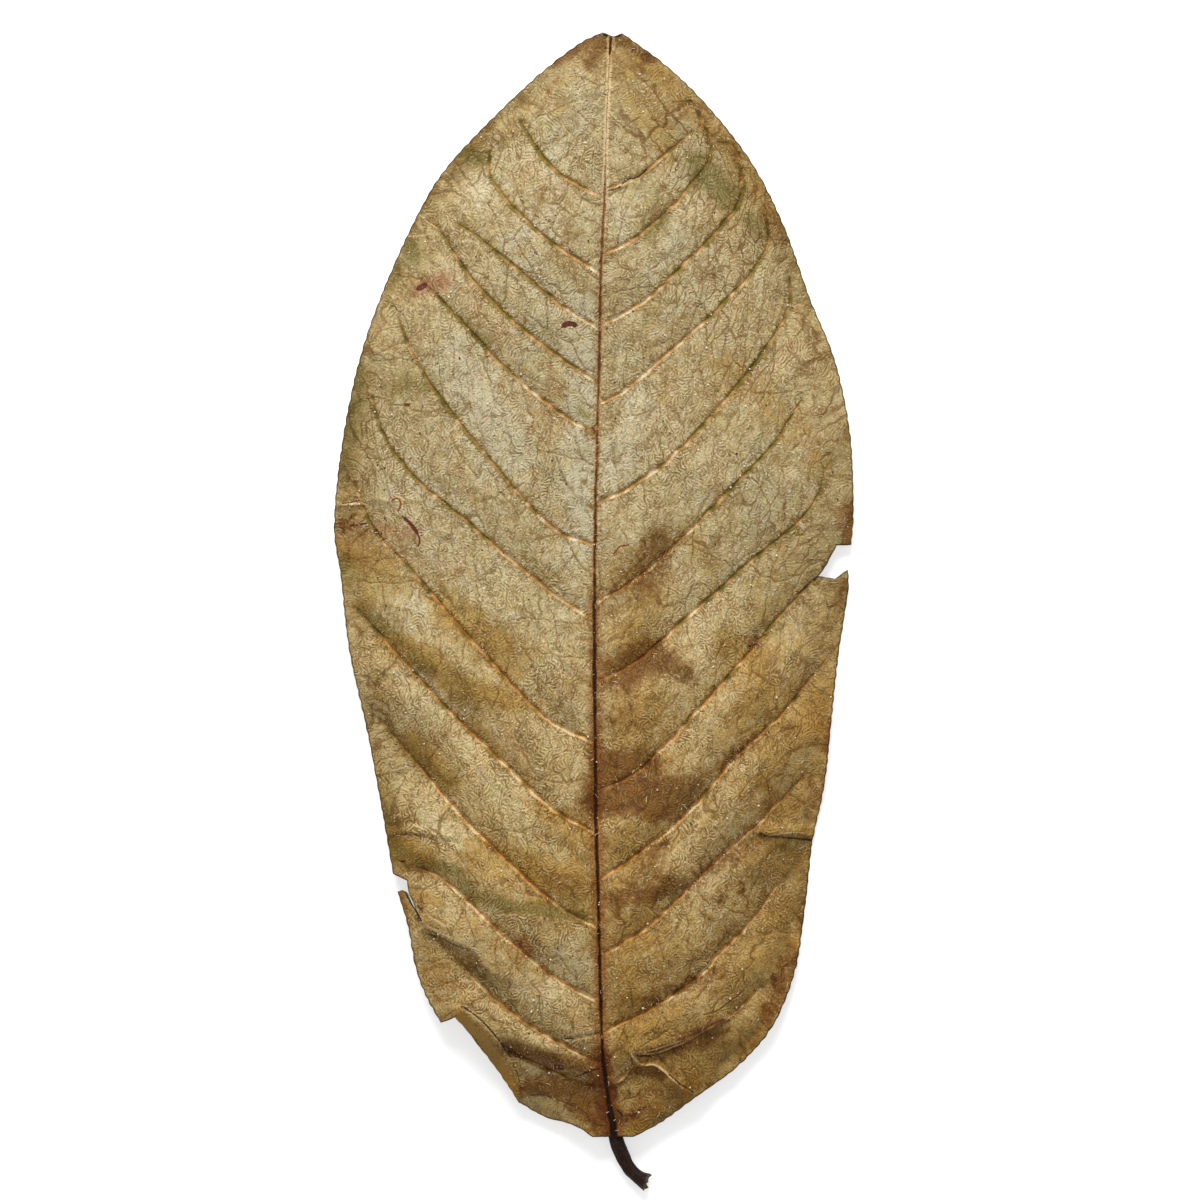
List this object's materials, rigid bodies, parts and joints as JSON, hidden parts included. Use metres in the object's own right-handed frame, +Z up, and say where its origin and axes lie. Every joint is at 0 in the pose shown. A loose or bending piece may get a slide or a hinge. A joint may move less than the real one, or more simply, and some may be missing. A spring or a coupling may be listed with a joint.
{
  "type": "dried guava leaf",
  "caption": "Single dried guava leaf, lying upper side up, with sunken veins, torn margins and a short dark stalk.",
  "frame": {"origin": "centre of the bounding box in plan, on the surface that the leaf lies on", "axes": "+Y along the midrib from the stalk to the tip, +Z up out of the leaf's upper side, +X to the right seen from above"},
  "size_m": [0.0564, 0.1256, 0.0064],
  "materials": {
    "dry_leaf": "matte"
  },
  "bodies": {
    "root": {"guava_leaf": "dry_leaf"}
  },
  "joints": []
}
